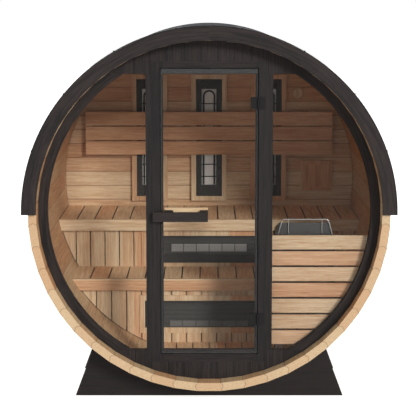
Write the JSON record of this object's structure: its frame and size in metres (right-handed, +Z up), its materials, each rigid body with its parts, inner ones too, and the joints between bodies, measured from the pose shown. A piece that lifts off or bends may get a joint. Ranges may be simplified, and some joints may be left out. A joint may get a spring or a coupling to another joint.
{
  "type": "barrel sauna",
  "caption": "Barrel sauna: a stave barrel on cradles with a shingle roof, a glass front with a hinged door, tiered benches, heater panels and a guarded stove.",
  "frame": {"origin": "on the ground, under the middle of the barrel's length and width", "axes": "+Z up; the glass front with the door faces -Y; +X is to the right as seen from the front"},
  "size_m": [2.0726, 1.848, 2.1291],
  "materials": {
    "stave_wood": "planed pale softwood, oiled",
    "cabin_wood": "planed softwood boards, untreated",
    "dark_stained_wood": "dark brown wood stain",
    "shingles": "mineral-faced bitumen felt",
    "stainless_steel": "brushed stainless strap",
    "window_glass": "toughened glass, light grey tint",
    "black_steel": "black powder coat",
    "heater_panel": "black powder coat",
    "reflector_steel": "bright reflector behind wire mesh",
    "stove_enamel": "dark grey heat-proof paint",
    "bright_rail": "polished steel rod"
  },
  "bodies": {
    "sauna": {"barrel_bottom": "stave_wood", "barrel_lower_left": "stave_wood", "barrel_left_side": "stave_wood", "barrel_upper_left": "stave_wood", "barrel_top": "stave_wood", "barrel_upper_right": "stave_wood", "barrel_right_side": "stave_wood", "barrel_lower_right": "stave_wood", "roof_cover_left": "shingles", "roof_cover_right": "shingles", "roof_ridge": "shingles", "front_fascia": "dark_stained_wood", "rear_fascia": "dark_stained_wood", "verge_trim": "black_steel", "steel_bands": "stainless_steel", "front_cradle": "dark_stained_wood", "middle_cradle": "dark_stained_wood", "rear_cradle": "dark_stained_wood", "front_wall_top": "dark_stained_wood", "front_wall_bottom": "dark_stained_wood", "left_window_frame": "dark_stained_wood", "right_window_frame": "dark_stained_wood", "left_post": "dark_stained_wood", "right_post": "dark_stained_wood", "left_window": "window_glass", "right_window": "window_glass", "door_jambs": "dark_stained_wood", "door_head_and_sill": "dark_stained_wood", "hinge_brackets": "black_steel", "back_wall": "stave_wood", "floor_boards": "cabin_wood", "floor_bearers": "cabin_wood", "lower_bench_boards": "cabin_wood", "upper_bench_boards": "cabin_wood", "bench_fascias": "cabin_wood", "bench_bearers": "cabin_wood", "lower_riser_slats": "cabin_wood", "upper_riser_slats": "cabin_wood", "heater_frames": "cabin_wood", "heater_panels": "heater_panel", "heater_trays": "reflector_steel", "backrest_boards": "cabin_wood", "backrest_battens": "cabin_wood", "wall_vents": "cabin_wood", "stove_guard_boards": "cabin_wood", "stove_guard_battens": "cabin_wood", "stove_cabinet": "stove_enamel", "stove_hopper": "stove_enamel", "stove_stand": "black_steel", "stove_rail": "bright_rail"},
    "door": {"door_glass": "window_glass", "door_hinges": "black_steel", "handle_bolts": "stainless_steel", "outer_handle": "dark_stained_wood", "inner_handle": "cabin_wood"}
  },
  "joints": [
    {"name": "door_hinge", "type": "hinge", "parent": "sauna", "child": "door", "pos_m": [0.27175, -0.816, 1.093], "axis": [0, 0, 1], "range_deg": [0, 100]}
  ]
}
